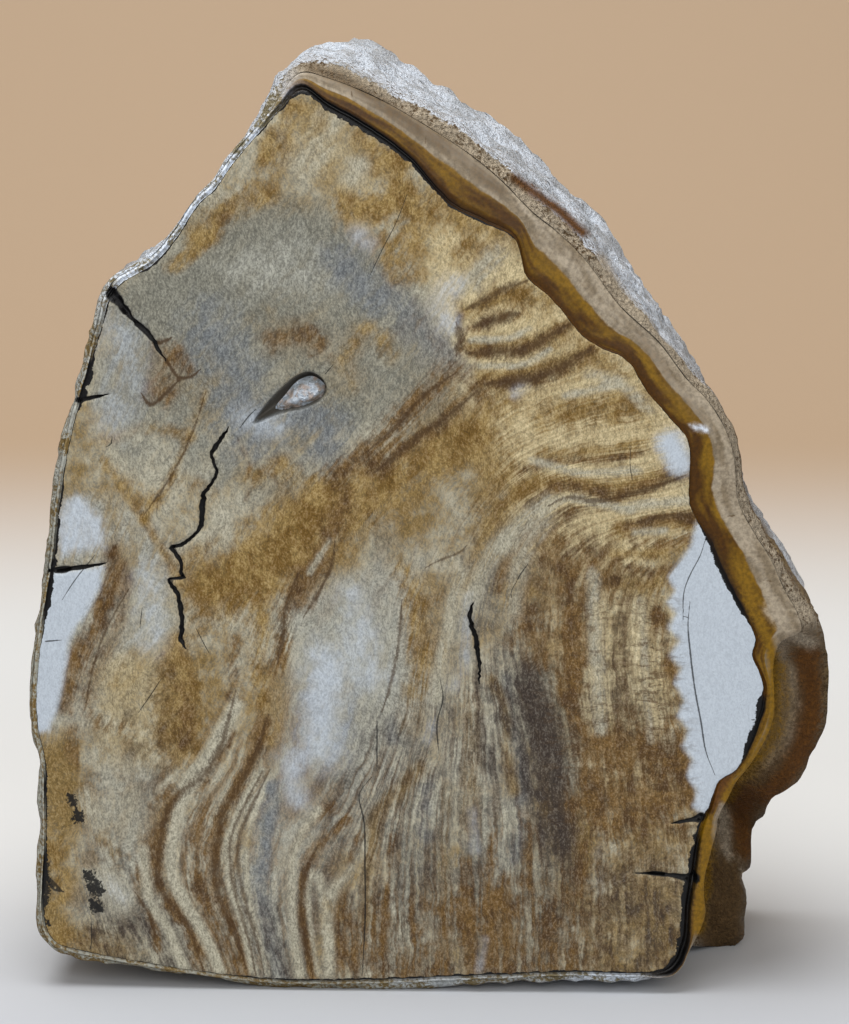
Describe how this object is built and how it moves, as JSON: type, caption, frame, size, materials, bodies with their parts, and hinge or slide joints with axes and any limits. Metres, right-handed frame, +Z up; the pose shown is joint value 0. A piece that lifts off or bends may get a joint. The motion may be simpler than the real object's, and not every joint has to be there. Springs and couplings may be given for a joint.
{
  "type": "opalized wood slice",
  "caption": "Thick slice of opalized wood with a polished ring-patterned face, an amber and cream bark-side rim and a rough chalky outside, standing on its flat base.",
  "frame": {"origin": "centre of the slice's bounding box in plan, at the height of the surface it stands on", "axes": "+Z up, the polished face looks along -Y, +X to the right as the face is seen"},
  "size_m": [0.1454, 0.055, 0.1718],
  "materials": {
    "opalized_wood": "silicified wood, polished on the face and chalky outside",
    "crystal_crust": "glassy pale opal crystals"
  },
  "bodies": {
    "root": {"opalized_wood_slice": "opalized_wood", "hollow_crystal_crust": "crystal_crust"}
  },
  "joints": []
}
